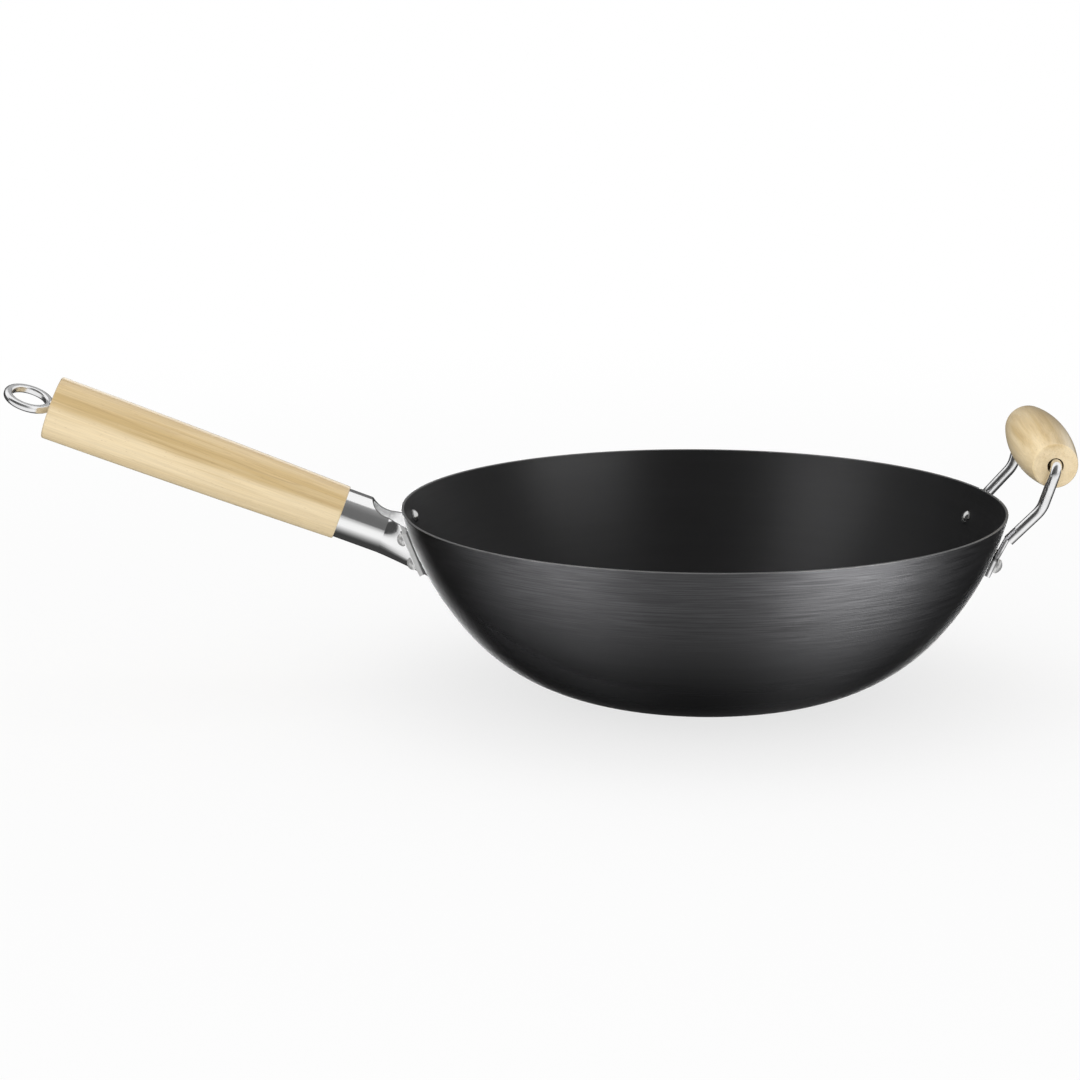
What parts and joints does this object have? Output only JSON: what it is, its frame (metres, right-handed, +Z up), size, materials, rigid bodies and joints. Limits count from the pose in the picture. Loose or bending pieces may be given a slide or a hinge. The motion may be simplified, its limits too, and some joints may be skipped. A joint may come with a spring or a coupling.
{
  "type": "wok",
  "caption": "Carbon steel wok: a deep spun bowl with a flat base, a long turned wood handle with a hanging ring, and a wire loop handle with a spinning wood grip.",
  "frame": {"origin": "middle of the underside of the flat base", "axes": "+Z up through the bowl's mouth, +X towards the loop handle, -X towards the long handle"},
  "size_m": [0.614, 0.3498, 0.1808],
  "materials": {
    "bowl_steel": "blackened carbon steel, satin, with fine level brushing",
    "bracket_steel": "polished tube with a pale matte flange",
    "rivet_steel": "satin",
    "rod_steel": "drawn",
    "bright_wire": "bright plated",
    "handle_wood": "sanded pale wood, thin clear coat",
    "grip_wood": "sanded pale wood, thin clear coat"
  },
  "bodies": {
    "wok": {"wok_bowl": "bowl_steel", "handle_bracket": "bracket_steel", "bracket_rivet_1": "rivet_steel", "bracket_rivet_2": "rivet_steel", "bracket_rivet_3": "rivet_steel", "bracket_rivet_4": "rivet_steel", "rod_anchor": "bracket_steel", "wood_handle": "handle_wood", "tie_rod": "rod_steel", "hanging_ring": "bright_wire", "helper_loop": "bright_wire", "loop_rivet_1": "rivet_steel", "loop_rivet_2": "rivet_steel"},
    "grip": {"helper_grip": "grip_wood"}
  },
  "joints": [
    {"name": "grip_spin", "type": "hinge", "parent": "wok", "child": "grip", "pos_m": [0.19444, 0.00115, 0.14082], "axis": [-0.0261, 0.9972, 0.0698], "continuous": true}
  ]
}
